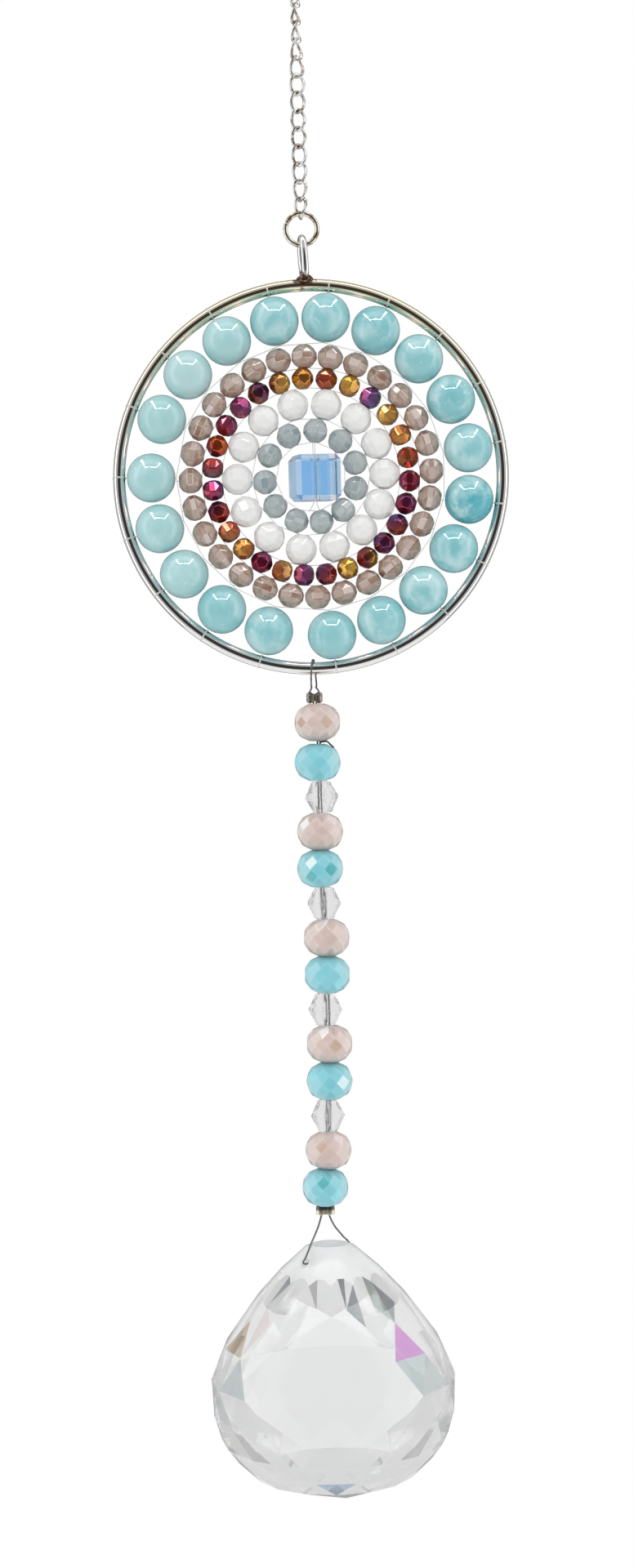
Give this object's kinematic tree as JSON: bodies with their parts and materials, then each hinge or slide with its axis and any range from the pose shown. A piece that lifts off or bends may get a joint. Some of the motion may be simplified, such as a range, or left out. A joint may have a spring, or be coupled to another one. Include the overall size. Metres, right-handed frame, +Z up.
{
  "type": "crystal suncatcher",
  "caption": "Hanging suncatcher: a chain carries a steel hoop laced with rounds of beads, and a wired strand of glass beads below it carries a faceted crystal ball.",
  "frame": {"origin": "inner top of the hanging ring, where the hook bears, on the plumb line through the ball", "axes": "+Z up along the plumb line, +X to the right seen from the front, -Y out of the front; the hoop lies in the XZ plane"},
  "size_m": [0.0652, 0.04, 0.2644],
  "materials": {
    "silver": "bright silver plate, a little worn",
    "steel": "polished steel wire with a dark weld at the top",
    "aqua_stone": "polished cloudy aqua stone",
    "nylon": "clear nylon thread",
    "mauve_glass": "pearly mauve faceted glass",
    "iris_glass": "red and gold mirror-coated faceted glass",
    "white_glass": "opaque milky white faceted glass",
    "grey_blue_glass": "smoky grey-blue faceted glass",
    "sapphire_crystal": "clear light-blue cut crystal",
    "pewter": "dull pewter, squeezed flat",
    "pink_glass": "milky pale pink faceted glass",
    "aqua_glass": "opal aqua faceted glass",
    "clear_crystal": "clear cut crystal",
    "beading_wire": "stranded beading wire"
  },
  "bodies": {
    "root": {"hanging_ring": "silver", "chain": "silver", "jump_ring": "silver", "hoop": "steel", "aqua_bead_01": "aqua_stone", "aqua_bead_02": "aqua_stone", "aqua_bead_03": "aqua_stone", "aqua_bead_04": "aqua_stone", "aqua_bead_05": "aqua_stone", "aqua_bead_06": "aqua_stone", "aqua_bead_07": "aqua_stone", "aqua_bead_08": "aqua_stone", "aqua_bead_09": "aqua_stone", "aqua_bead_10": "aqua_stone", "aqua_bead_11": "aqua_stone", "aqua_bead_12": "aqua_stone", "aqua_bead_13": "aqua_stone", "aqua_bead_14": "aqua_stone", "aqua_bead_15": "aqua_stone", "aqua_bead_16": "aqua_stone", "aqua_bead_17": "aqua_stone", "aqua_bead_18": "aqua_stone", "aqua_bead_19": "aqua_stone", "hoop_lacing": "nylon", "mauve_round": "mauve_glass", "red_round": "iris_glass", "white_round": "white_glass", "grey_blue_bead_01": "grey_blue_glass", "grey_blue_bead_02": "grey_blue_glass", "grey_blue_bead_03": "grey_blue_glass", "grey_blue_bead_04": "grey_blue_glass", "grey_blue_bead_05": "grey_blue_glass", "grey_blue_bead_06": "grey_blue_glass", "grey_blue_bead_07": "grey_blue_glass", "grey_blue_bead_08": "grey_blue_glass", "grey_blue_bead_09": "grey_blue_glass", "grey_blue_bead_10": "grey_blue_glass", "grey_blue_bead_11": "grey_blue_glass", "inner_lacing": "nylon", "cube_bead": "sapphire_crystal", "upper_crimp": "pewter", "pink_rondelle_1": "pink_glass", "pink_rondelle_2": "pink_glass", "pink_rondelle_3": "pink_glass", "pink_rondelle_4": "pink_glass", "pink_rondelle_5": "pink_glass", "aqua_rondelle_1": "aqua_glass", "aqua_rondelle_2": "aqua_glass", "aqua_rondelle_3": "aqua_glass", "aqua_rondelle_4": "aqua_glass", "aqua_rondelle_5": "aqua_glass", "clear_bicone_1": "clear_crystal", "clear_bicone_2": "clear_crystal", "clear_bicone_3": "clear_crystal", "clear_bicone_4": "clear_crystal", "lower_crimp": "pewter", "strand_wire": "beading_wire", "crystal_ball": "clear_crystal"}
  },
  "joints": []
}
